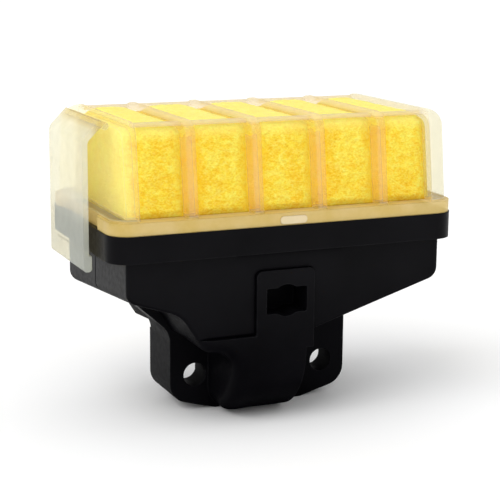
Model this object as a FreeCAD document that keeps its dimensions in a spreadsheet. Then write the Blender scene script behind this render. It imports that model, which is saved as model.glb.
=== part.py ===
import FreeCAD, Part
import os
import re

import Sketcher

# Air filter housing of a small two-stroke engine, in millimetres.
# Origin: midway between the two stud holes, on the face that bolts to the carburettor.
# +X runs along the housing, +Y points out of the carburettor face, +Z is up.

DIMENSIONS = {
    # Rim: the closed frame round the top of the black base.
    "rim_length": 80.0, "rim_depth": 45.4, "rim_height": 5.7, "rim_corner": 5.0,
    "rim_top": 35.9, "middle_y": -7.8,
    # Hopper under the rim: the floor falls towards the middle and towards the back.
    "hopper_length": 72.9, "hopper_depth": 42.0, "wall": 2.0, "floor_fall": 3.8,
    "floor_left": 21.9, "floor_right": 21.5, "knee_x": 24.5, "knee_height": 18.0,
    "throat_left": 20.8, "throat_right": 5.5, "throat_height": 12.2,
    "hopper_corner": 2.8, "knee_round": 7.0, "opening_corner": 1.5, "back_round": 2.0, "panel_round": 0.8,
    "seam_round": 0.45,
    # Pod and boss: the lower front of the main shell.
    "pod_front": 29.6, "pod_left": 12.3, "pod_right": 3.9, "pod_shelf": 9.0, "pod_shelf_left": 19.0,
    "pod_bottom": 8.2,
    "chin_round": 16.5, "chin_cut": 1.0, "chin_end": 17.0, "pod_side_round": 3.0,
    "pod_fillet": 4.8, "pod_corner": 5.0, "pod_shelf_round": 3.1,
    "boss_left": 7.9, "boss_right": 5.6, "boss_top": 26.2, "boss_foot": 8.6, "boss_thick": 9.0,
    "boss_corner": 1.4, "boss_gap": 0.15,
    "slot_middle": -0.9, "slot_length": 9.4, "slot_low": 16.7, "slot_high": 22.3,
    "slot_depth": 7.0, "slot_bulge": 3.5, "slot_corner": 0.4,
    # Ears with the two stud holes.
    "ear_half": 21.3, "ear_thick": 13.1, "ear_bottom": 5.3, "ear_corner": 4.6, "ear_blend": 10.5,
    "ear_root": 20.0, "ear_flare": 10.9, "ear_knee": 10.2, "ear_flare_round": 5.0,
    "right_flare": 7.0, "right_knee": 12.6,
    "land_height": 0.6, "land_top": 8.2, "relief_depth": 6.8, "relief_lap": 0.2, "relief_reach": 5.2,
    "relief_low": 5.1, "relief_high": 0.6, "relief_corner": 1.2,
    "stud_spacing": 31.0, "stud_radius": 2.65, "duct_top": 14.0,
    # Air way through the base.
    "outlet_radius": 5.3, "outlet_height": 0.3, "outlet_depth": 5.0,
    "duct_half": 9.0, "duct_front": 12.0, "duct_back": 4.0, "duct_low": 5.2, "duct_corner": 1.5,
    # Carburettor seal and rim seal.
    "seal_inner": 6.0, "seal_width": 1.2, "seal_thick": 1.5, "seal_gap": 0.05,
    "rim_seal_inset": 1.6, "rim_seal_width": 1.6, "rim_seal_thick": 1.2,
    # Filter frame.
    "flange_length": 79.6, "flange_depth": 45.0, "flange_thick": 2.7, "flange_corner": 4.8,
    "skirt_depth": 4.0, "skirt_gap": 0.3, "skirt_wall": 1.4,
    "frame_half_length": 38.9, "frame_half_depth": 21.9, "frame_top": 58.4, "frame_draft": 2.6,
    "frame_end": 5.2, "frame_end_wall": 3.2, "frame_corner": 4.4, "frame_crown": 5.0, "foot_sunk": 1.0,
    "rib_pitch": 14.67, "rib_width": 2.6, "rib_depth": 3.0, "rib_round": 0.9, "top_depth": 1.7,
    "rail_height": 0.8, "rail_width": 1.6, "rail_inset": 2.2, "rail_drop": 0.4, "rail_reach": 34.2,
    "tab_half": 3.1, "tab_height": 1.7, "tab_proud": 0.3, "tab_round": 0.8,
    # Latch on the left end of the frame.
    "latch_front": 18.5, "latch_back": 5.7, "latch_out": 42.3, "latch_thick": 1.2,
    "latch_low": 26.6, "latch_elbow": 54.26, "latch_top": 58.18, "latch_bend": 2.6, "latch_heel": 0.7,
    "lip_end": 40.5, "lip_gap": 0.25,
    "pivot_x": 37.4, "pivot_z": 56.9, "pivot_radius": 0.8, "pivot_gap": 0.08,
    "notch_ramp": 1.8, "notch_reach": 2.0,
    "slope_cosine": 0.7071, "half_slope_tangent": 0.4142,
    # Filter element and the grid inside it.
    "media_gap": 0.12, "media_wall": 6.5, "core_wall": 1.4, "core_plate": 1.4, "core_fit": 0.15,
    "core_slot": 6.0, "core_slot_pitch": 9.5, "core_slot_low": 41.0, "core_slot_high": 46.0,
    "core_slot_round": 1.0,
}

document = FreeCAD.newDocument("AirFilterHousing")
sheet = document.addObject("Spreadsheet::Sheet", "Dimensions")
for row, (alias, size) in enumerate(DIMENSIONS.items(), start=1):
    sheet.set(f"A{row}", alias)
    sheet.set(f"B{row}", str(size))
    sheet.setAlias(f"B{row}", alias)
document.recompute()

# A point nearer to an axis than this is held on the axis itself.
ON_AXIS = 1e-9


def formula(text):
    """Give a size written with the sheet's names as a document expression."""
    return re.sub(r"[a-z_]{3,}", lambda word: "Dimensions." + word.group(0), str(text))


def number(text):
    """Work out a size written with the sheet's names."""
    found = sheet.evalExpression(formula(text))
    return float(getattr(found, "Value", found))


def bind(item, field, text):
    item.setExpression(field, formula(text))


def new_body(label):
    body = document.addObject("PartDesign::Body", label)
    body.Label = label
    body.Placement = FreeCAD.Placement()
    return body


def new_sketch(body, name, role, offset):
    """Start a sketch on an origin plane, moved along the plane's normal."""
    plane = next(item for item in body.Origin.OriginFeatures if item.Role == role)
    sketch = body.newObject("Sketcher::SketchObject", name)
    sketch.AttachmentSupport = [(plane, "")]
    sketch.MapMode = "FlatFace"
    bind(sketch, "AttachmentOffset.Base.z", offset)
    return sketch


def pin_point(sketch, geometry, which, across, upward):
    """Hold one point of a sketch at an expression-driven place."""
    for kind, text in (("DistanceX", across), ("DistanceY", upward)):
        place = number(text)
        if abs(place) < ON_AXIS:
            axis = -2 if kind == "DistanceX" else -1
            sketch.addConstraint(Sketcher.Constraint("PointOnObject", geometry, which, axis))
            continue
        index = sketch.addConstraint(Sketcher.Constraint(kind, -1, 1, geometry, which, place))
        bind(sketch, f"Constraints[{index}]", text)


def polygon(sketch, corners, rounds=()):
    """Draw a closed outline through expression-driven corners, some of them rounded.

    Each entry of rounds is a corner's number and its radius.
    """
    points = [FreeCAD.Vector(number(across), number(upward), 0) for across, upward in corners]
    first = sketch.GeometryCount
    for start, end in zip(points, points[1:] + points[:1]):
        sketch.addGeometry(Part.LineSegment(start, end), False)
    for step, (across, upward) in enumerate(corners):
        following = first + (step + 1) % len(corners)
        sketch.addConstraint(Sketcher.Constraint("Coincident", first + step, 2, following, 1))
        pin_point(sketch, first + step, 1, across, upward)
    for corner, radius in rounds:
        arc = sketch.GeometryCount
        before = first + (corner - 1) % len(corners)
        sketch.fillet(before, first + corner, points[corner - 1], points[(corner + 1) % len(corners)],
                      number(radius), True, True)
        index = sketch.addConstraint(Sketcher.Constraint("Radius", arc, number(radius)))
        bind(sketch, f"Constraints[{index}]", radius)


def rectangle(sketch, left, right, low, high, radius=None):
    rounds = [(corner, radius) for corner in range(4)] if radius else ()
    polygon(sketch, [(left, low), (right, low), (right, high), (left, high)], rounds)


def circle(sketch, across, upward, radius):
    centre = FreeCAD.Vector(number(across), number(upward), 0)
    ring = Part.Circle(centre, FreeCAD.Vector(0, 0, 1), number(radius))
    index = sketch.addGeometry(ring, False)
    size = sketch.addConstraint(Sketcher.Constraint("Radius", index, number(radius)))
    bind(sketch, f"Constraints[{size}]", radius)
    pin_point(sketch, index, 3, across, upward)


def extrude(body, kind, sketch, length, reverse=False, adds=True):
    """Pad or pocket a sketch, and make sure that the volume changed the right way."""
    document.recompute()
    before = body.Shape.Volume if body.Tip else 0.0
    feature = body.newObject("PartDesign::" + kind, sketch.Name + kind)
    feature.Profile = sketch
    feature.Reversed = reverse
    bind(feature, "Length", length)
    sketch.Visibility = False
    document.recompute()
    change = feature.Shape.Volume - before
    if (change > 0) != adds:
        raise RuntimeError(f"{feature.Name} of {body.Label} changed the volume by {change}")
    return feature


def pad(body, sketch, length, reverse=False):
    return extrude(body, "Pad", sketch, length, reverse, True)


def pocket(body, sketch, length, reverse=False):
    return extrude(body, "Pocket", sketch, length, reverse, False)


def rounded(body, radius, chosen, name):
    """Round the edges of the last feature that a test picks out."""
    document.recompute()
    base = body.Tip
    names = [f"Edge{index}" for index, edge in enumerate(base.Shape.Edges, start=1) if chosen(edge)]
    if not names:
        raise RuntimeError(f"{name} of {body.Label} found no edge")
    fillet = body.newObject("PartDesign::Fillet", name)
    fillet.Base = (base, names)
    bind(fillet, "Radius", radius)
    document.recompute()
    return fillet


def near(found, wanted, reach=0.02):
    return abs(found - wanted) < reach


# How far past a plane an edge's middle has to be before a rounding takes it.
CLEAR_OF = 0.1

HALF_FRONT = "middle_y - hopper_depth / 2"
HALF_BACK = "middle_y + hopper_depth / 2"
RIM_LOW = "rim_top - rim_height"
FLANGE_TOP = "rim_top + flange_thick"


def hopper_half(body, name, kind, inset, places):
    """Half of the hopper as a prism that falls towards the back, outside or inside."""
    start, length, drop, corner = places
    sketch = new_sketch(body, name, "XZ_Plane", f"-({start})")
    lid = "rim_top" if inset == "wall" else f"{RIM_LOW} + floor_fall"
    corners = [
        (f"-hopper_length / 2 + {inset}", lid),
        (f"-hopper_length / 2 + {inset}", f"floor_left - {drop} + {inset}"),
        (f"-knee_x + {inset}", f"knee_height - {drop} + {inset}"),
        (f"-throat_left + {inset}", f"throat_height - {drop} + {inset}"),
        (f"throat_right - {inset} / 4", f"throat_height - {drop} + {inset}"),
        (f"hopper_length / 2 - {inset}", f"floor_right - {drop} + {inset}"),
        (f"hopper_length / 2 - {inset}", lid),
    ]
    polygon(sketch, corners, [(1, corner), (2, "knee_round"), (5, corner)])
    document.recompute()
    before = body.Shape.Volume if body.Tip else 0.0
    feature = body.newObject("PartDesign::" + kind, name + kind)
    feature.Profile = sketch
    feature.UseCustomVector = True
    feature.Direction = FreeCAD.Vector(0, 1, -number("floor_fall / hopper_depth"))
    bind(feature, "Direction.z", "-floor_fall / hopper_depth")
    bind(feature, "Length", length)
    document.recompute()
    if (feature.Shape.Volume > before) != (kind == "Pad"):
        raise RuntimeError(f"{feature.Name} changed the volume the wrong way")
    return feature

# Start, length, fall of the floor at the start, and corner radius of each half of the hopper.
FRONT_OUTSIDE = (HALF_FRONT, "hopper_depth / 2", "0", "hopper_corner")
FRONT_INSIDE = (HALF_FRONT + " + wall", "hopper_depth / 2 - wall", "floor_fall * wall / hopper_depth",
                "opening_corner")
REAR_OUTSIDE = ("middle_y", "hopper_depth / 2", "floor_fall / 2", "hopper_corner")
REAR_INSIDE = ("middle_y", "hopper_depth / 2 - wall", "floor_fall / 2", "opening_corner")


def make_housing_body():
    """Main shell: rear half of the hopper, rim, pod, boss and ears in one moulding."""
    body = new_body("housing_body")

    # Rear half of the hopper, still solid.
    hopper_half(body, "RearHopper", "Pad", "0", REAR_OUTSIDE)
    back = number(HALF_BACK)
    rounded(body, "back_round",
            lambda edge: near(edge.BoundBox.YMin, back)
            and edge.CenterOfMass.z < number(RIM_LOW) - CLEAR_OF,
            "BackEdges")

    # Plate between the ears, rising into the hopper, and the low land that meets the carburettor.
    ears = new_sketch(body, "Ears", "XZ_Plane", "land_height")
    polygon(ears, [
        ("-ear_half - ear_flare", "ear_root"), ("-ear_half", "ear_knee"), ("-ear_half", "-ear_bottom"),
        ("-ear_blend", "-pod_bottom"), ("ear_blend", "-pod_bottom"), ("ear_half", "-ear_bottom"),
        ("ear_half", "right_knee"), ("ear_half + right_flare", "ear_root"),
    ], [(1, "ear_flare_round"), (2, "ear_corner"), (5, "ear_corner"), (6, "ear_flare_round")])
    pad(body, ears, "ear_thick - land_height")
    land = new_sketch(body, "Land", "XZ_Plane", "0")
    polygon(land, [
        ("-ear_half", "land_top"), ("-ear_half", "-ear_bottom"), ("-ear_blend", "-pod_bottom"),
        ("ear_blend", "-pod_bottom"), ("ear_half", "-ear_bottom"), ("ear_half", "land_top"),
    ], [(1, "ear_corner"), (4, "ear_corner")])
    pad(body, land, "ear_thick / 2")

    # Pod in front of the plate: wide under the hopper, narrow below its shelf, with a long round chin.
    pod = new_sketch(body, "Pod", "XZ_Plane", "ear_thick - land_height")
    polygon(pod, [
        ("-throat_left", "throat_height"), ("-pod_shelf_left", "pod_shelf"), ("-pod_left", "pod_shelf"),
        ("-pod_left", "-pod_bottom"), ("pod_right", "-pod_bottom"), ("pod_right", "throat_height"),
    ], [(1, "pod_shelf_round"), (2, "pod_fillet"), (3, "pod_corner")])
    pad(body, pod, "pod_front - ear_thick + land_height")
    chin = new_sketch(body, "Chin", "YZ_Plane", "-rim_length / 2")
    polygon(chin, [
        ("-pod_front - chin_cut", "-pod_bottom - chin_cut"),
        ("-pod_front + chin_end", "-pod_bottom - chin_cut"),
        ("-pod_front + chin_end", "-pod_bottom"), ("-pod_front", "-pod_bottom"),
        ("-pod_front", "-pod_bottom + chin_end"), ("-pod_front - chin_cut", "-pod_bottom + chin_end"),
    ], [(3, "chin_round")])
    pocket(body, chin, "rim_length", True)
    nose = number("-pod_front")
    rounded(body, "pod_side_round",
            lambda edge: near(edge.BoundBox.YMin, nose) and near(edge.BoundBox.YMax, nose)
            and edge.CenterOfMass.z < number("throat_height") - CLEAR_OF
            and edge.CenterOfMass.x < -number("pod_left") / 2,
            "PodSides")

    # Room for the front shell.
    hopper_half(body, "FrontRoom", "Pocket", "0", FRONT_OUTSIDE)

    # Boss that comes through the front shell, with its rounded top corners.
    boss = new_sketch(body, "Boss", "XZ_Plane", "pod_front - boss_thick")
    polygon(boss, [
        ("-boss_left", "boss_foot"), ("boss_right", "boss_foot"),
        ("boss_right", "boss_top"), ("-boss_left", "boss_top"),
    ], [(2, "boss_corner"), (3, "boss_corner")])
    pad(body, boss, "boss_thick")

    # Rim band all round the top.
    rim = new_sketch(body, "Rim", "XY_Plane", RIM_LOW)
    rectangle(rim, "-rim_length / 2", "rim_length / 2",
              "middle_y - rim_depth / 2", "middle_y + rim_depth / 2", "rim_corner")
    pad(body, rim, "rim_height")
    opening = new_sketch(body, "RimOpening", "XY_Plane", "rim_top")
    rectangle(opening, "-hopper_length / 2 + wall", "hopper_length / 2 - wall",
              "middle_y - hopper_depth / 2 + wall", "middle_y + hopper_depth / 2 - wall", "opening_corner")
    pocket(body, opening, "rim_height")

    # Clean-air room, open at the top.
    hopper_half(body, "RearRoom", "Pocket", "wall", REAR_INSIDE)
    duct = new_sketch(body, "Duct", "XY_Plane", "duct_top")
    rectangle(duct, "-duct_half", "duct_half", "-duct_front", "-duct_back", "duct_corner")
    pocket(body, duct, "duct_top + duct_low")
    outlet = new_sketch(body, "Outlet", "XZ_Plane", "0")
    circle(outlet, "0", "outlet_height", "outlet_radius")
    pocket(body, outlet, "outlet_depth", True)

    # Holes for the two carburettor studs. A relief behind each ear opens into one side of its hole.
    relief = new_sketch(body, "LeftRelief", "XZ_Plane", "0")
    rectangle(relief, "-stud_spacing / 2 - relief_lap", "-stud_spacing / 2 + relief_reach",
              "-relief_low", "relief_high", "relief_corner")
    pocket(body, relief, "relief_depth", True)
    relief = new_sketch(body, "RightRelief", "XZ_Plane", "0")
    rectangle(relief, "stud_spacing / 2 - relief_lap", "ear_half + relief_reach",
              "-2 * pod_bottom", "relief_high", "relief_corner")
    pocket(body, relief, "relief_depth", True)
    studs = new_sketch(body, "StudHoles", "XZ_Plane", "0")
    circle(studs, "-stud_spacing / 2", "0", "stud_radius")
    circle(studs, "stud_spacing / 2", "0", "stud_radius")
    pocket(body, studs, "ear_thick", True)

    # T-shaped socket in the boss: a slot with a bulge in the middle of both long sides.
    slot = new_sketch(body, "Slot", "XZ_Plane", "pod_front")
    rectangle(slot, "slot_middle - slot_length / 2", "slot_middle + slot_length / 2",
              "slot_low", "slot_high", "slot_corner")
    pocket(body, slot, "slot_depth")
    bulge = new_sketch(body, "SlotBulge", "XZ_Plane", "pod_front")
    circle(bulge, "slot_middle", "(slot_low + slot_high) / 2", "slot_bulge")
    pocket(body, bulge, "slot_depth")

    # Grooves for the two seals.
    groove = new_sketch(body, "OutletGroove", "XZ_Plane", "0")
    circle(groove, "0", "outlet_height", "seal_inner")
    circle(groove, "0", "outlet_height", "seal_inner + seal_width")
    pocket(body, groove, "seal_thick", True)
    bed = new_sketch(body, "RimGroove", "XY_Plane", "rim_top")
    ring_outlines(bed, "0")
    pocket(body, bed, "rim_seal_thick")
    return body


def ring_outlines(sketch, gap):
    """Two rounded rectangles, one inside the other, that run along the middle of the rim."""
    for inset, corner in ((f"rim_seal_inset + {gap}", "rim_corner - rim_seal_inset"),
                          (f"rim_seal_inset + rim_seal_width - {gap}",
                           "rim_corner - rim_seal_inset - rim_seal_width")):
        rectangle(sketch, f"-rim_length / 2 + {inset}", f"rim_length / 2 - ({inset})",
                  f"middle_y - rim_depth / 2 + {inset}", f"middle_y + rim_depth / 2 - ({inset})", corner)


def make_front_shell():
    """Front shell: the panel, and the front half of the ends and of the sloping floor."""
    body = new_body("front_shell")
    hopper_half(body, "FrontHopper", "Pad", "0", FRONT_OUTSIDE)
    top = new_sketch(body, "FlatTop", "XY_Plane", RIM_LOW)
    rectangle(top, "-rim_length / 2", "rim_length / 2",
              "middle_y - rim_depth / 2", "middle_y + rim_depth / 2")
    pocket(body, top, "rim_height", True)
    front = number(HALF_FRONT)
    rounded(body, "panel_round",
            lambda edge: near(edge.BoundBox.YMax, front)
            and edge.CenterOfMass.z < number(RIM_LOW) - CLEAR_OF,
            "PanelEdges")
    seam = number("middle_y")
    rounded(body, "seam_round",
            lambda edge: near(edge.BoundBox.YMin, seam) and near(edge.BoundBox.YMax, seam)
            and edge.CenterOfMass.z < number(RIM_LOW) - CLEAR_OF,
            "SeamEdges")
    hopper_half(body, "FrontHollow", "Pocket", "wall", FRONT_INSIDE)
    around = new_sketch(body, "BossWindow", "XZ_Plane", "pod_front")
    polygon(around, [
        ("-boss_left - boss_gap", "0"), ("boss_right + boss_gap", "0"),
        ("boss_right + boss_gap", "boss_top + boss_gap"), ("-boss_left - boss_gap", "boss_top + boss_gap"),
    ], [(2, "boss_corner"), (3, "boss_corner")])
    pocket(body, around, "boss_thick + boss_gap")
    throat = new_sketch(body, "Throat", "XY_Plane", "0")
    rectangle(throat, "-duct_half", "duct_half", "-duct_front", "middle_y + wall")
    pocket(body, throat, "duct_top + wall", True)
    return body


def make_outlet_seal():
    """Rubber ring in the carburettor face."""
    body = new_body("outlet_seal")
    ring = new_sketch(body, "Ring", "XZ_Plane", "0")
    circle(ring, "0", "outlet_height", "seal_inner + seal_gap")
    circle(ring, "0", "outlet_height", "seal_inner + seal_width - seal_gap")
    pad(body, ring, "seal_thick")
    return body


def make_rim_seal():
    """Rubber ring in the top of the rim, under the filter's flange."""
    body = new_body("rim_seal")
    ring = new_sketch(body, "Ring", "XY_Plane", "rim_top - rim_seal_thick")
    ring_outlines(ring, "seal_gap")
    pad(body, ring, "rim_seal_thick")
    return body


def crown_profile(sketch, inset, foot, top="frame_top"):
    """Cross-section of the frame, or of what lies inside it: a drafted arch with a rounded crown."""
    low = f"frame_half_depth - ({inset})"
    high = f"frame_half_depth - frame_draft - ({inset})"
    polygon(sketch, [
        (f"middle_y - ({low})", foot), (f"middle_y + ({low})", foot),
        (f"middle_y + ({high})", top), (f"middle_y - ({high})", top),
    ], [(2, "frame_crown - rib_depth / 2"), (3, "frame_crown - rib_depth / 2")])


def centred_rectangle(sketch, half_length, half_depth, corner):
    rectangle(sketch, f"-({half_length})", half_length,
              f"middle_y - ({half_depth})", f"middle_y + ({half_depth})", corner)


SKIRT_HALF_LENGTH = "hopper_length / 2 - wall - skirt_gap"
SKIRT_HALF_DEPTH = "hopper_depth / 2 - wall - skirt_gap"


def make_filter_frame():
    """Clear plastic frame: flange, skirt, closed ends, cross ribs and two thin rails."""
    body = new_body("filter_frame")
    foot = f"{FLANGE_TOP} - foot_sunk"

    # End caps, rounded all the way round their outer edge.
    for name, start in (("LeftEnd", "-frame_half_length"), ("RightEnd", "frame_half_length - frame_end")):
        end = new_sketch(body, name, "YZ_Plane", start)
        crown_profile(end, "0", foot)
        pad(body, end, "frame_end")
    outer = number("frame_half_length")
    rounded(body, "frame_corner",
            lambda edge: near(abs(edge.CenterOfMass.x), outer)
            and edge.CenterOfMass.z > number(foot) + CLEAR_OF,
            "EndEdges")

    # Cross ribs at an even pitch.
    rib = new_sketch(body, "Rib", "YZ_Plane", "-1.5 * rib_pitch - rib_width / 2")
    crown_profile(rib, "0", foot)
    first = pad(body, rib, "rib_width")
    ribs = body.newObject("PartDesign::LinearPattern", "Ribs")
    ribs.Originals = [first]
    ribs.Direction = (rib, ["N_Axis"])
    bind(ribs, "Length", "3 * rib_pitch")
    ribs.Occurrences = 4
    body.Tip = ribs
    rounded(body, "rib_round",
            lambda edge: edge.BoundBox.XLength < CLEAR_OF
            and abs(edge.CenterOfMass.x) < number("2 * rib_pitch")
            and edge.CenterOfMass.z > number(foot) + CLEAR_OF,
            "RibEdges")

    # Flange that covers the rim, cut back where the latch hangs.
    flange = new_sketch(body, "Flange", "XY_Plane", "rim_top")
    centred_rectangle(flange, "flange_length / 2", "flange_depth / 2", "flange_corner")
    pad(body, flange, "flange_thick")
    notch = new_sketch(body, "LatchNotch", "XY_Plane", FLANGE_TOP)
    polygon(notch, [
        ("-flange_length / 2 - notch_reach", "-latch_front - notch_ramp"),
        ("-flange_length / 2", "-latch_front - notch_ramp"),
        ("-frame_half_length", "-latch_front + notch_ramp / 2"),
        ("-frame_half_length", "latch_back - notch_ramp / 2"),
        ("-flange_length / 2", "latch_back + notch_ramp"),
        ("-flange_length / 2 - notch_reach", "latch_back + notch_ramp"),
    ])
    pocket(body, notch, "flange_thick")

    # Room for the filter element, down through the flange.
    room = new_sketch(body, "Room", "YZ_Plane", "-frame_half_length + frame_end_wall")
    crown_profile(room, "rib_depth", FLANGE_TOP, "frame_top - top_depth")
    pocket(body, room, "2 * (frame_half_length - frame_end_wall)", True)
    mouth = new_sketch(body, "Mouth", "XY_Plane", FLANGE_TOP)
    centred_rectangle(mouth, f"{SKIRT_HALF_LENGTH} - skirt_wall", f"{SKIRT_HALF_DEPTH} - skirt_wall",
                      "opening_corner")
    pocket(body, mouth, "flange_thick")

    # Skirt that drops into the rim.
    skirt = new_sketch(body, "Skirt", "XY_Plane", "rim_top")
    centred_rectangle(skirt, SKIRT_HALF_LENGTH, SKIRT_HALF_DEPTH, "opening_corner")
    centred_rectangle(skirt, f"{SKIRT_HALF_LENGTH} - skirt_wall", f"{SKIRT_HALF_DEPTH} - skirt_wall",
                      "opening_corner")
    pad(body, skirt, "skirt_depth", True)

    # Rails along both top edges.
    for name, side in (("FrontRail", -1), ("BackRail", 1)):
        rail = new_sketch(body, name, "YZ_Plane", "-rail_reach")
        outer_y = f"middle_y + {side} * (frame_half_depth - frame_draft - rail_inset)"
        inner_y = f"middle_y + {side} * (frame_half_depth - frame_draft - rail_inset - rail_width)"
        left, right = (outer_y, inner_y) if side < 0 else (inner_y, outer_y)
        rectangle(rail, left, right, "frame_top - rail_height - rail_drop", "frame_top - rail_drop")
        pad(body, rail, "2 * rail_reach")

    # Thumb tab in the middle of the front flange.
    tab = new_sketch(body, "Tab", "XZ_Plane", "-middle_y + flange_depth / 2")
    rectangle(tab, "-tab_half", "tab_half", "rim_top + tab_proud", "rim_top + tab_proud + tab_height",
              "tab_round")
    pad(body, tab, "tab_proud")

    # Groove for the latch's flex line.
    groove = new_sketch(body, "FlexGroove", "XZ_Plane", "latch_front + pivot_gap")
    circle(groove, "-pivot_x", "pivot_z", "pivot_radius + pivot_gap")
    pocket(body, groove, "latch_front + latch_back + 2 * pivot_gap")
    return body


def make_end_latch():
    """Latch on the left end: a broad tongue that hangs over the rim and ends in a short lip."""
    body = new_body("end_latch")
    tongue = new_sketch(body, "Tongue", "XZ_Plane", "latch_front")
    shift = "latch_thick * slope_cosine"
    inner = "-latch_out + latch_thick"
    polygon(tongue, [
        ("-latch_out", "latch_low"), ("-lip_end", "latch_low"),
        ("-lip_end", f"{RIM_LOW} - lip_gap"), (inner, f"{RIM_LOW} - lip_gap"),
        (inner, "latch_elbow - latch_thick * half_slope_tangent"),
        (f"-latch_out + (latch_top - latch_elbow) + {shift}", f"latch_top - {shift}"),
        ("-latch_out + (latch_top - latch_elbow)", "latch_top"), ("-latch_out", "latch_elbow"),
    ], [(0, "latch_heel"), (1, "latch_heel"), (4, "latch_bend - latch_thick"), (7, "latch_bend")])
    pad(body, tongue, "latch_front + latch_back", True)
    barrel = new_sketch(body, "Barrel", "XZ_Plane", "latch_front")
    circle(barrel, "-pivot_x", "pivot_z", "pivot_radius")
    pad(body, barrel, "latch_front + latch_back", True)
    return body


def make_filter_media():
    """Felt filter element: a thick-walled cap that fills the frame."""
    body = new_body("filter_media")
    outside = new_sketch(body, "Outside", "YZ_Plane", "-frame_half_length + frame_end_wall + media_gap")
    crown_profile(outside, "rib_depth + media_gap", FLANGE_TOP, "frame_top - top_depth - media_gap")
    pad(body, outside, "2 * (frame_half_length - frame_end_wall - media_gap)")
    inside = new_sketch(body, "Inside", "YZ_Plane",
                        "-frame_half_length + frame_end_wall + media_gap + media_wall")
    crown_profile(inside, "rib_depth + media_gap + media_wall", FLANGE_TOP,
                  "frame_top - top_depth - media_gap - media_wall")
    pocket(body, inside, "2 * (frame_half_length - frame_end_wall - media_gap - media_wall)", True)
    return body


def make_inner_core():
    """Grid that holds the felt open from inside, on a plate that closes the skirt."""
    body = new_body("inner_core")
    gap = "rib_depth + media_gap + media_wall + core_fit"
    reach = "frame_half_length - frame_end_wall - media_gap - media_wall - core_fit"
    peak = "frame_top - top_depth - media_gap - media_wall - core_fit"
    plate = new_sketch(body, "Plate", "XY_Plane", FLANGE_TOP)
    centred_rectangle(plate, f"{SKIRT_HALF_LENGTH} - skirt_wall - core_fit",
                      f"{SKIRT_HALF_DEPTH} - skirt_wall - core_fit", "opening_corner")
    pad(body, plate, "core_plate", True)
    hood = new_sketch(body, "Hood", "YZ_Plane", f"-({reach})")
    crown_profile(hood, gap, f"{FLANGE_TOP} - core_plate / 2", peak)
    pad(body, hood, f"2 * ({reach})")
    hollow = new_sketch(body, "Hollow", "YZ_Plane", f"-({reach} - core_wall)")
    crown_profile(hollow, f"{gap} + core_wall", f"{FLANGE_TOP} - core_plate", f"{peak} - core_wall")
    pocket(body, hollow, f"2 * ({reach} - core_wall)", True)
    slot = new_sketch(body, "CoreSlot", "XZ_Plane", "0")
    rectangle(slot, "-2.5 * core_slot_pitch - core_slot / 2", "-2.5 * core_slot_pitch + core_slot / 2",
              "core_slot_low", "core_slot_high", "core_slot_round")
    document.recompute()
    first = body.newObject("PartDesign::Pocket", "CoreSlotPocket")
    first.Profile = slot
    first.Type = "ThroughAll"
    first.Midplane = True
    document.recompute()
    slots = body.newObject("PartDesign::LinearPattern", "CoreSlots")
    slots.Originals = [first]
    slots.Direction = (slot, ["H_Axis"])
    bind(slots, "Length", "5 * core_slot_pitch")
    slots.Occurrences = 6
    body.Tip = slots
    document.recompute()
    return body


def export_parts(bodies):
    """Check every object and shape, and write one file for each piece."""
    document.recompute()
    for item in document.Objects:
        if "Invalid" in item.State or "Error" in item.State:
            raise RuntimeError(f"{item.Name} is {item.State}")
    os.makedirs("parts", exist_ok=True)
    for body in bodies:
        shape = body.Shape
        if shape.isNull() or not shape.isValid():
            raise RuntimeError(f"{body.Label} has no valid shape")
        shape.exportStep(f"parts/{body.Label}.step")
        print(body.Label, "solids", len(shape.Solids), "volume", round(shape.Volume, 1), shape.BoundBox)


export_parts([
    make_housing_body(),
    make_front_shell(),
    make_outlet_seal(),
    make_rim_seal(),
    make_filter_frame(),
    make_end_latch(),
    make_filter_media(),
    make_inner_core(),
])
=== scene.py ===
import math

import bmesh
import bpy
from mathutils import Matrix, Vector, noise


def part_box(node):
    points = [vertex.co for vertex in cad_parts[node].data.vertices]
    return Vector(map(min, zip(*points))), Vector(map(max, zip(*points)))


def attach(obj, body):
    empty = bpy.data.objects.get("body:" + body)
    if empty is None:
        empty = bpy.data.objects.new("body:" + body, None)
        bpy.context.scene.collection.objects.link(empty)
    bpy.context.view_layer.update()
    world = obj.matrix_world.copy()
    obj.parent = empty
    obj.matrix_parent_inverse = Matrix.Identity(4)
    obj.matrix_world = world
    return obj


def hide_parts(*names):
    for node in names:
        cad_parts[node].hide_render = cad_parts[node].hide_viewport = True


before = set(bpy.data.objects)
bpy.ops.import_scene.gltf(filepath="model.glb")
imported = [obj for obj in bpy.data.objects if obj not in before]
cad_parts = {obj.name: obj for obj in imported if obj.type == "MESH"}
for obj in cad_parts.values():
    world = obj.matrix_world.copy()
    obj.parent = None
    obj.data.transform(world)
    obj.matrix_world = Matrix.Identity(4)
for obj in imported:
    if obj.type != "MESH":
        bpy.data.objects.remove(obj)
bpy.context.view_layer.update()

MM = 0.001
scene = bpy.context.scene


# ---------------------------------------------------------------- camera

CAMERA_AT = Vector((-0.12678, -0.29590, 0.09443))
CAMERA_TO = Vector((-0.00004, -0.00780, 0.02592))
CAMERA_FOV = math.radians(19.857)
CAMERA_ROLL = math.radians(0.51)


def make_camera():
    """A camera in front and to the left, a little above the part."""
    data = bpy.data.cameras.new("camera")
    camera = bpy.data.objects.new("camera", data)
    scene.collection.objects.link(camera)
    data.sensor_fit = "HORIZONTAL"
    data.angle = CAMERA_FOV
    data.clip_start = 0.01
    data.clip_end = 20
    turn = (CAMERA_TO - CAMERA_AT).to_track_quat("-Z", "Y").to_matrix().to_4x4()
    camera.matrix_world = Matrix.Translation(CAMERA_AT) @ turn @ Matrix.Rotation(CAMERA_ROLL, 4, "Z")
    scene.camera = camera


# ---------------------------------------------------------------- node helpers

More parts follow.
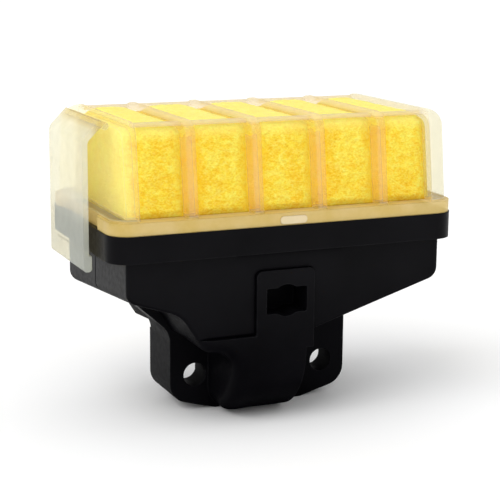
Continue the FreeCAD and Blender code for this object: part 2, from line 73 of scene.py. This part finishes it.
class Shader:
    """A short way to write a material's node tree."""

    def __init__(self, name):
        self.material = bpy.data.materials.new(name)
        self.material.use_nodes = True
        self.tree = self.material.node_tree
        self.tree.nodes.clear()
        self.output = self.add("ShaderNodeOutputMaterial")

    def add(self, kind, inputs=None, **settings):
        node = self.tree.nodes.new(kind)
        for key, value in settings.items():
            setattr(node, key, value)
        for key, value in (inputs or {}).items():
            if isinstance(value, bpy.types.NodeSocket):
                self.tree.links.new(value, node.inputs[key])
            else:
                node.inputs[key].default_value = value
        return node

    def maths(self, operation, *values):
        return self.add("ShaderNodeMath", dict(enumerate(values)), operation=operation).outputs["Value"]

    def coordinates(self):
        return self.add("ShaderNodeTexCoord").outputs["Object"]

    def facing(self):
        """The three parts of the outward direction, on the part's own axes."""
        return self.split(self.add("ShaderNodeTexCoord").outputs["Normal"])

    def noise(self, scale, detail=3.0, roughness=0.5, vector=None):
        inputs = {"Scale": scale, "Detail": detail, "Roughness": roughness,
                  "Vector": self.coordinates() if vector is None else vector}
        return self.add("ShaderNodeTexNoise", inputs).outputs["Fac"]

    def ramp(self, value, stops):
        """A colour that follows value through the stops."""
        node = self.add("ShaderNodeValToRGB", {"Fac": value})
        elements = node.color_ramp.elements
        while len(elements) < len(stops):
            elements.new(0.5)
        for element, (place, colour) in zip(elements, stops):
            element.position = place
            element.color = (*colour, 1.0)
        return node.outputs["Color"]

    def grey(self, value, low, high, out_low=0.0, out_high=1.0):
        """A number that goes from out_low to out_high as value goes from low to high."""
        inputs = {"Value": value, "From Min": low, "From Max": high, "To Min": out_low, "To Max": out_high}
        return self.add("ShaderNodeMapRange", inputs).outputs["Result"]

    def mix(self, factor, a, b):
        """A colour from a to b."""
        node = self.add("ShaderNodeMix", data_type="RGBA")
        for index, value in ((0, factor), (6, a), (7, b)):
            socket = node.inputs[index]
            if isinstance(value, bpy.types.NodeSocket):
                self.tree.links.new(value, socket)
            else:
                socket.default_value = value
        return node.outputs[2]

    def blend(self, factor, a, b):
        """A number from a to b."""
        node = self.add("ShaderNodeMix", {0: factor, 2: a, 3: b}, data_type="FLOAT")
        return node.outputs[0]

    def size_of(self, value):
        return self.maths("ABSOLUTE", value)

    def split(self, vector):
        return self.add("ShaderNodeSeparateXYZ", {0: vector}).outputs

    def bump(self, height, strength, distance, normal=None):
        inputs = {"Height": height, "Strength": strength, "Distance": distance}
        if normal is not None:
            inputs["Normal"] = normal
        return self.add("ShaderNodeBump", inputs).outputs["Normal"]

    def bevel(self, radius):
        return self.add("ShaderNodeBevel", {"Radius": radius}, samples=6).outputs["Normal"]

    def edges(self, rounded):
        """White along the sharp edges, where the rounded normal leaves the true one."""
        true_normal = self.add("ShaderNodeNewGeometry").outputs["Normal"]
        dot = self.add("ShaderNodeVectorMath", {0: rounded, 1: true_normal}, operation="DOT_PRODUCT")
        return self.grey(dot.outputs["Value"], 0.80, 0.98, 1.0, 0.0)

    def finish(self, surface):
        self.tree.links.new(surface, self.output.inputs["Surface"])
        return self.material


# ---------------------------------------------------------------- materials

RIB_PITCH = 14.67 * MM
RIBS_AT = [(-1.5 + step) * RIB_PITCH for step in range(4)]
HOLLOW_REACH = 6.0 * MM
BLACK_EDGE = 0.4 * MM
CLEAR_EDGE = 0.4 * MM
FRAME_EDGE = 0.35 * MM
CORE_EDGE = 0.3 * MM
FELT_YELLOW = (1.0, 0.74, 0.05)

# Each zone runs from the low end of a change to its high end, along one axis of the part.
SHEEN_ZONE = (8.0 * MM, 24.0 * MM)
EAR_ZONE = (12.0 * MM, 12.8 * MM)
LATCH_ROOT_ZONE = (-40.4 * MM, -38.6 * MM)
LATCH_PAINTED_GLOW_ZONE = (36.0 * MM, 41.0 * MM)
END_ZONE = (33.6 * MM, 34.6 * MM)
FLANGE_ZONE = (38.7 * MM, 39.3 * MM)
TAB_ZONE = (-30.5 * MM, -30.35 * MM)
FIN_ZONE = (57.0 * MM, 57.6 * MM)
RIB_SHADE_ZONE = (1.4 * MM, 3.6 * MM)
LAST_BAY_ZONE = (28.0 * MM, 31.0 * MM)
TOP_SHADE_ZONE = (52.0 * MM, 56.0 * MM)
CROWN_ZONE = (54.0 * MM, 57.0 * MM)
FELT_END_ZONE = (34.0 * MM, 35.4 * MM)


def black_plastic(name):
    """Moulded black nylon: fine grain, slightly paler edges that are partly scuffed and partly a painted
    highlight, and a soft sheen.

    The sheen fades downward, on what faces down, and in the hollows between the two ears, as painted shade.
    """
    s = Shader(name)
    place = s.split(s.coordinates())
    broad = s.noise(60.0, 4.0, 0.6)
    fine = s.noise(2600.0, 2.0, 0.5)
    pits = s.noise(900.0, 3.0, 0.6)
    rounded = s.bevel(BLACK_EDGE)
    # Paler edges: partly scuffs, partly a painted highlight along the rounded edges.
    edge_patches = s.grey(s.noise(500.0, 3.0, 0.6), 0.35, 0.75, 0.1, 0.9)
    scuffs_and_highlight = s.maths("MULTIPLY", edge_patches, s.edges(rounded))
    base = s.ramp(broad, [(0.3, (0.0016, 0.0015, 0.0021)), (0.7, (0.0034, 0.0032, 0.0042))])
    colour = s.mix(scuffs_and_highlight, base, (0.020, 0.020, 0.022, 1.0))
    # Painted shade: the sheen is turned down low on the part, on faces that point down, and in hollows found
    # by ambient occlusion between the ears.
    downward = s.grey(s.facing()["Z"], -0.5, -0.05, 0.8, 0.0)
    openness = s.add("ShaderNodeAmbientOcclusion", {"Distance": HOLLOW_REACH}, samples=6).outputs["AO"]
    between_ears = s.grey(s.size_of(place["X"]), *EAR_ZONE, 1.0, 0.0)
    hollow = s.blend(between_ears, 0.0, s.grey(openness, 0.40, 0.80, 1.0, 0.0))
    sheen = s.grey(place["Z"], *SHEEN_ZONE, 0.02, 0.062)
    sheen = s.blend(downward, sheen, 0.0)
    sheen = s.blend(hollow, sheen, 0.0)
    rough = s.grey(pits, 0.3, 0.7, 0.34, 0.46)
    normal = s.bump(fine, 0.12, 0.03 * MM, rounded)
    normal = s.bump(pits, 0.05, 0.04 * MM, normal)
    bsdf = s.add("ShaderNodeBsdfPrincipled", {
        "Base Color": colour, "Roughness": rough, "Specular IOR Level": sheen, "Normal": normal})
    return s.finish(bsdf.outputs["BSDF"])


def rubber(name):
    """Dull black rubber with a little dust."""
    s = Shader(name)
    dust = s.noise(300.0, 4.0, 0.6)
    colour = s.ramp(dust, [(0.35, (0.012, 0.012, 0.012)), (0.75, (0.03, 0.029, 0.028))])
    rough = s.grey(dust, 0.3, 0.7, 0.6, 0.8)
    normal = s.bump(s.noise(2000.0), 0.3, 0.05 * MM)
    bsdf = s.add("ShaderNodeBsdfPrincipled", {
        "Base Color": colour, "Roughness": rough, "Normal": normal})
    return s.finish(bsdf.outputs["BSDF"])


def cloudy(s, tint, clear, glow, passing, inner):
    """Unpigmented moulded plastic.

    clear is how much passes straight through one face and passing its colour, glow how much spreads to the
    other side, and inner the strength of a painted glow (emission) that stands in for light caught in the
    wall coming out again.
    """
    cloud = s.noise(140.0, 4.0, 0.6)
    fine = s.noise(1500.0, 2.0, 0.5)
    colour = s.mix(s.grey(cloud, 0.3, 0.7, 0.0, 0.12), tint, (1.0, 1.0, 1.0, 1.0))
    rough = s.grey(cloud, 0.3, 0.7, 0.26, 0.38)
    normal = s.bump(fine, 0.12, 0.04 * MM, s.bevel(CLEAR_EDGE))
    # The emission is a painted glow, standing in for light scattered inside the wall.
    shell = s.add("ShaderNodeBsdfPrincipled", {
        "Base Color": colour, "Roughness": rough, "IOR": 1.45, "Normal": normal,
        "Emission Color": colour, "Emission Strength": inner})
    through = s.add("ShaderNodeBsdfTransparent", {"Color": passing})
    spread = s.add("ShaderNodeBsdfTranslucent", {"Color": colour, "Normal": normal})
    soft = s.add("ShaderNodeMixShader", {0: glow, 1: shell.outputs["BSDF"], 2: spread.outputs["BSDF"]})
    haze = s.maths("ADD", s.grey(cloud, 0.3, 0.7, 0.03, -0.03), clear)
    mixed = s.add("ShaderNodeMixShader", {0: haze, 1: soft.outputs["Shader"], 2: through.outputs["BSDF"]})
    return s.finish(mixed.outputs["Shader"])


def latch_plastic(name):
    """The clear latch: cool and cloudy, clearer at its root, with a painted glow above the rim that stands
    in for light from behind.
    """
    s = Shader(name)
    place = s.split(s.coordinates())
    root = s.grey(place["X"], *LATCH_ROOT_ZONE)
    tint = s.mix(root, (0.92, 1.0, 1.0, 1.0), (1.0, 0.97, 0.76, 1.0))
    clear = s.blend(root, 0.67, 0.86)
    # Painted glow: emission that grows above the rim, standing in for light from behind.
    inner = s.grey(place["Z"], *LATCH_PAINTED_GLOW_ZONE, 0.0, 0.3)
    return cloudy(s, tint, clear, 0.2, (0.84, 0.78, 0.62, 1.0), inner)


def frame_plastic(name):
    """The clear frame: clouded along the ribs, clearer at the ends, and thick and warm in the flange, its
    warmth partly painted felt light. Painted light and shade: an orange felt glow on the rib sides, a
    painted glow in the end caps and the flange, and a greyer shaded copy at the right end.
    """
    s = Shader(name)
    place = s.split(s.coordinates())
    ends = s.grey(s.size_of(place["X"]), *END_ZONE)
    # Painted shade: the right end cap, on the side away from the light, is a greyer, darker copy with no
    # painted glow.
    right = s.grey(place["X"], *END_ZONE)
    flange = s.grey(place["Z"], *FLANGE_ZONE, 1.0, 0.0)
    tab = s.grey(place["Y"], *TAB_ZONE, 1.0, 0.0)
    fins = s.blend(ends, s.grey(place["Z"], *FIN_ZONE), 0.0)
    # Painted light: the side faces of the ribs get an orange tint standing in for felt light bouncing
    # through them.
    painted_glow_sides = s.blend(ends, s.grey(s.size_of(s.facing()["X"]), 0.55, 0.85), 0.0)
    tint = s.mix(painted_glow_sides, (0.95, 0.76, 0.50, 1.0), (1.0, 0.70, 0.02, 1.0))
    tint = s.mix(ends, tint, (1.0, 0.98, 0.60, 1.0))
    tint = s.mix(right, tint, (0.90, 0.90, 0.76, 1.0))
    # Painted light, in part: the flange's warm tint stands in for felt light caught in the thick wall.
    tint = s.mix(flange, tint, (0.66, 0.47, 0.12, 1.0))
    tint = s.mix(tab, tint, (0.80, 0.66, 0.38, 1.0))
    tint = s.mix(fins, tint, (0.86, 0.76, 0.52, 1.0))
    clear = s.blend(painted_glow_sides, 0.80, 0.86)
    clear = s.blend(ends, clear, 0.84)
    clear = s.blend(flange, clear, 0.25)
    clear = s.blend(s.edges(s.bevel(FRAME_EDGE)), clear, 0.45)
    clear = s.blend(fins, clear, 0.5)
    glow = s.blend(flange, 0.4, 0.08)
    passing = s.mix(ends, (0.985, 0.955, 0.89, 1.0), (0.99, 0.975, 0.88, 1.0))
    passing = s.mix(right, passing, (0.94, 0.92, 0.82, 1.0))
    # Painted glow: emission in the end caps and the flange, none at the right end.
    inner = s.blend(ends, 0.07, 0.32)
    inner = s.blend(right, inner, 0.0)
    inner = s.blend(flange, inner, 0.17)
    return cloudy(s, tint, clear, glow, passing, inner)


def yellow_felt(name):
    """Needled yellow felt: streaky fibre grain and orange mottling, with painted orange shade by the ribs,
    painted light on the ends, and paler on top.
    """
    s = Shader(name)
    here = s.coordinates()
    place = s.split(here)
    stretched = s.add("ShaderNodeMapping", {"Vector": here, "Scale": (1.0, 1.0, 1.7)}).outputs["Vector"]
    broad = s.noise(230.0, 4.0, 0.65)
    patches = s.noise(620.0, 4.0, 0.7, stretched)
    grain = s.noise(1900.0, 4.0, 0.7, stretched)
    colour = s.ramp(broad, [(0.41, (0.95, 0.57, 0.02)), (0.5, FELT_YELLOW), (0.59, (1.0, 0.87, 0.13))])
    patchy = s.ramp(patches, [(0.40, (0.90, 0.50, 0.01)), (0.5, FELT_YELLOW), (0.60, (1.0, 0.90, 0.20))])
    speck = s.ramp(grain, [(0.38, (0.72, 0.34, 0.0)), (0.5, (1.0, 0.73, 0.04)), (0.62, (1.0, 0.93, 0.24))])
    mixed = s.mix(0.45, colour, patchy)
    mixed = s.mix(0.33, mixed, speck)
    # Painted shade: an orange tint in each bay next to the ribs, left out of the last bays and fading on
    # top.
    from_rib = s.maths("PINGPONG", s.maths("SUBTRACT", place["X"], RIBS_AT[2]), RIB_PITCH / 2)
    shade = s.grey(from_rib, *RIB_SHADE_ZONE, 0.6, 0.0)
    shade = s.blend(s.grey(s.size_of(place["X"]), *LAST_BAY_ZONE), shade, 0.0)
    shade = s.blend(s.grey(place["Z"], *TOP_SHADE_ZONE, 0.0, 0.85), shade, 0.0)
    mixed = s.mix(shade, mixed, (1.0, 0.64, 0.02, 1.0))
    crown = s.grey(place["Z"], *CROWN_ZONE, 0.0, 0.65)
    mixed = s.mix(crown, mixed, (1.0, 0.93, 0.26, 1.0))
    # Painted light: the felt's ends, behind the end caps, are painted paler yellow.
    end = s.grey(s.size_of(place["X"]), *FELT_END_ZONE, 0.0, 0.4)
    mixed = s.mix(end, mixed, (1.0, 1.0, 0.28, 1.0))
    normal = s.bump(patches, 0.5, 0.6 * MM)
    normal = s.bump(grain, 0.7, 0.4 * MM, normal)
    bsdf = s.add("ShaderNodeBsdfPrincipled", {
        "Base Color": mixed, "Roughness": 0.95, "Normal": normal, "Specular IOR Level": 0.12,
        "Subsurface Weight": 0.3, "Subsurface Radius": (1.0, 0.6, 0.15), "Subsurface Scale": 1.0 * MM,
        "Sheen Weight": 0.3, "Sheen Roughness": 0.5, "Sheen Tint": (1.0, 0.9, 0.35, 1.0)})
    return s.finish(bsdf.outputs["BSDF"])


def white_plastic(name):
    """Off-white moulded plastic for the core inside the felt."""
    s = Shader(name)
    broad = s.noise(90.0, 3.0, 0.5)
    colour = s.ramp(broad, [(0.3, (0.60, 0.56, 0.45)), (0.7, (0.70, 0.66, 0.55))])
    normal = s.bump(s.noise(1800.0), 0.2, 0.04 * MM, s.bevel(CORE_EDGE))
    bsdf = s.add("ShaderNodeBsdfPrincipled", {"Base Color": colour, "Roughness": 0.5, "Normal": normal})
    return s.finish(bsdf.outputs["BSDF"])


def paint(node, material):
    """Put one material on every slot of a CAD node."""
    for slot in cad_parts[node].material_slots:
        slot.material = material


# ---------------------------------------------------------------- felt

FELT_LOW, FELT_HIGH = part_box("filter_media")
FELT_WALL = 6.5 * MM
FELT_DRAFT = 2.6 * MM
FELT_CROWN = 2.8 * MM
FELT_STEP = 0.30 * MM
LINING_STEP = 2.0 * MM
RIB_HALF = 1.3 * MM
END_HALF = 1.9 * MM
SIDE_SWELL = 0.9 * MM
TOP_SWELL = 1.25 * MM
LUMP_SIZE = 1.7 * MM
LUMP_HEIGHT = 0.12 * MM
TUFT_SIZE = 0.7 * MM
TUFT_HEIGHT = 0.07 * MM
EDGE_FADE = 1.2 * MM
END_ROUND = 2.4 * MM
END_RINGS = 28


def arch(half, foot, top, step):
    """Places and outward directions along an arch, from its front foot over the top to its back foot."""
    lean = math.atan2(FELT_DRAFT, top - foot)
    turn = math.pi / 2 - lean
    tangent = FELT_CROWN * math.tan(turn / 2)
    side = math.hypot(FELT_DRAFT, top - foot) - tangent
    flat = half - FELT_DRAFT - tangent
    places = []
    count = round(side / step)
    for index in range(count):
        along = side * index / count
        places.append((-half + along * math.sin(lean), foot + along * math.cos(lean),
                       -math.cos(lean), math.sin(lean)))
    count = round(FELT_CROWN * turn / step)
    for index in range(count):
        angle = lean + turn * index / count
        places.append((-flat - FELT_CROWN * math.cos(angle), top - FELT_CROWN + FELT_CROWN * math.sin(angle),
                       -math.cos(angle), math.sin(angle)))
    count = round(flat / step)
    for index in range(count):
        places.append((-flat + flat * index / count, top, 0.0, 1.0))
    return places + [(0.0, top, 0.0, 1.0)] + [(-y, z, -ny, nz) for y, z, ny, nz in reversed(places)]


def swell_at(x, upright):
    """How far the felt stands out of its frame: most in the middle of a bay, nothing under a rib."""
    walls = [FELT_LOW.x] + RIBS_AT + [FELT_HIGH.x]
    for left, right in zip(walls[:-1], walls[1:]):
        low = left + (RIB_HALF if left > FELT_LOW.x else END_HALF)
        high = right - (RIB_HALF if right < FELT_HIGH.x else END_HALF)
        if low < x < high:
            across = abs(2 * (x - low) / (high - low) - 1)
            return (1 - across ** 4) * (SIDE_SWELL + (TOP_SWELL - SIDE_SWELL) * upright)
    return 0.0


def end_fall(x):
    """How far the felt's rounded ends fall away from its straight outline."""
    reach = max(0.0, END_ROUND - (FELT_HIGH.x - abs(x)))
    return END_ROUND - math.sqrt(END_ROUND ** 2 - reach ** 2)


def lump_at(spot):
    """The uneven surface of needled felt: broad lumps with small tufts on them."""
    return noise.noise(spot / LUMP_SIZE) * LUMP_HEIGHT + noise.noise(spot / TUFT_SIZE) * TUFT_HEIGHT


def grid_of(b, xs, places, middle, swollen):
    """Vertices over an arch, one row for each x."""
    rows = []
    for x in xs:
        row = []
        for y, z, ny, nz in places:
            out = 0.0
            if swollen:
                fade = min(1.0, (z - FELT_LOW.z) / EDGE_FADE, (FELT_HIGH.x - abs(x)) / EDGE_FADE)
                out = fade * (swell_at(x, max(0.0, nz)) + lump_at(Vector((x, y, z)))) - end_fall(x)
            row.append(b.verts.new((x, middle + y + out * ny, z + out * nz)))
        rows.append(row)
    return rows


def skin(b, rows):
    """Smooth faces between each row of vertices and the next."""
    for one, two in zip(rows[:-1], rows[1:]):
        for index in range(len(one) - 1):
            b.faces.new([one[index], two[index], two[index + 1], one[index + 1]]).smooth = True


def end_wall(b, row, side):
    """A felt end: rings that shrink from the last row of the arch to the middle of its foot.

    Gives back the vertices along its foot, from front to back.
    """
    foot = (row[0].co + row[-1].co) / 2
    rings = [row]
    for index in range(1, END_RINGS):
        ring = []
        for vert in row:
            place = foot.lerp(vert.co, 1 - index / END_RINGS)
            fade = min(1.0, max(0.0, (place.z - FELT_LOW.z) / EDGE_FADE))
            place.x += side * fade * lump_at(place)
            ring.append(b.verts.new(place))
        rings.append(ring)
    skin(b, rings)
    b.faces.new(rings[-1])
    return [ring[0] for ring in rings] + [ring[-1] for ring in rings[::-1]]


def make_felt(material):
    """The felt cap: cushioned in every bay, hollow underneath."""
    middle = (FELT_LOW.y + FELT_HIGH.y) / 2
    half = (FELT_HIGH.y - FELT_LOW.y) / 2
    outside = arch(half, FELT_LOW.z, FELT_HIGH.z, FELT_STEP)
    inside = arch(half - FELT_WALL, FELT_LOW.z, FELT_HIGH.z - FELT_WALL, LINING_STEP)
    count = round((FELT_HIGH.x - FELT_LOW.x) / FELT_STEP)
    xs = [FELT_LOW.x + (FELT_HIGH.x - FELT_LOW.x) * index / count for index in range(count + 1)]
    b = bmesh.new()
    outer = grid_of(b, xs, outside, middle, True)
    inner = grid_of(b, [FELT_LOW.x + FELT_WALL, FELT_HIGH.x - FELT_WALL], inside, middle, False)
    skin(b, outer)
    skin(b, inner)
    b.faces.new(inner[0])
    b.faces.new(inner[-1])
    b.faces.new([row[0] for row in outer] + [row[0] for row in inner[::-1]])
    b.faces.new([row[-1] for row in outer] + [row[-1] for row in inner[::-1]])
    b.faces.new(end_wall(b, outer[0], -1) + [inner[0][-1], inner[0][0]])
    b.faces.new(end_wall(b, outer[-1], 1) + [inner[-1][-1], inner[-1][0]])
    bmesh.ops.recalc_face_normals(b, faces=b.faces)
    mesh = bpy.data.meshes.new("felt_element")
    b.to_mesh(mesh)
    b.free()
    felt = bpy.data.objects.new("felt_element", mesh)
    scene.collection.objects.link(felt)
    mesh.materials.append(material)
    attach(felt, "filter")
    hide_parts("filter_media")


# ---------------------------------------------------------------- stage

FLOOR_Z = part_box("housing_body")[0].z
FLOOR_HALF = 6.0
FLOOR_GAP = 0.02 * MM
SKY_SIDE = 0.50
SKY_TOP = 0.97
SUNS = {
    "left_sun": (Vector((-0.80, -0.30, 1.0)), 1.15, math.radians(50)),
    "front_sun": (Vector((-0.30, -1.0, 0.60)), 0.46, math.radians(70)),
}


def make_floor():
    """A wide sheet of white paper, just under the lowest face of the housing."""
    mesh = bpy.data.meshes.new("floor")
    b = bmesh.new()
    bmesh.ops.create_grid(b, x_segments=1, y_segments=1, size=FLOOR_HALF)
    b.to_mesh(mesh)
    b.free()
    floor = bpy.data.objects.new("floor", mesh)
    floor.location.z = FLOOR_Z - FLOOR_GAP
    scene.collection.objects.link(floor)
    s = Shader("floor_paper")
    colour = s.ramp(s.noise(3.0), [(0.3, (0.97, 0.97, 0.97)), (0.7, (0.99, 0.99, 0.99))])
    bsdf = s.add("ShaderNodeBsdfPrincipled", {
        "Base Color": colour, "Roughness": 1.0, "Specular IOR Level": 0.0})
    mesh.materials.append(s.finish(bsdf.outputs["BSDF"]))


def make_lights():
    """A pale dome that is brighter overhead, and a broad sun from the upper left and from the front."""
    for name, (place, power, spread) in SUNS.items():
        data = bpy.data.lights.new(name, "SUN")
        data.energy = power
        data.angle = spread
        sun = bpy.data.objects.new(name, data)
        sun.rotation_mode = "QUATERNION"
        sun.rotation_quaternion = place.to_track_quat("Z", "Y")
        scene.collection.objects.link(sun)
    world = bpy.data.worlds.new("studio")
    world.use_nodes = True
    tree = world.node_tree
    direction = tree.nodes.new("ShaderNodeTexCoord").outputs["Generated"]
    split = tree.nodes.new("ShaderNodeSeparateXYZ")
    lift = tree.nodes.new("ShaderNodeMapRange")
    lift.inputs["To Min"].default_value = SKY_SIDE
    lift.inputs["To Max"].default_value = SKY_TOP
    tree.links.new(direction, split.inputs[0])
    tree.links.new(split.outputs["Z"], lift.inputs["Value"])
    tree.links.new(lift.outputs["Result"], tree.nodes["Background"].inputs["Strength"])
    tree.nodes["Background"].inputs["Color"].default_value = (1.0, 1.0, 1.0, 1.0)
    scene.world = world
    scene.view_settings.view_transform = "Standard"


# ---------------------------------------------------------------- build

make_camera()
make_floor()
make_lights()

shell_black = black_plastic("moulded_black")
seal_black = rubber("seal_rubber")
frame_clear = frame_plastic("cloudy_frame")
latch_clear = latch_plastic("cloudy_latch")
core_white = white_plastic("core_plastic")
felt_yellow = yellow_felt("needled_felt")

paint("housing_body", shell_black)
paint("front_shell", shell_black)
paint("rim_seal", seal_black)
paint("outlet_seal", seal_black)
paint("filter_frame", frame_clear)
paint("end_latch", latch_clear)
paint("inner_core", core_white)
make_felt(felt_yellow)
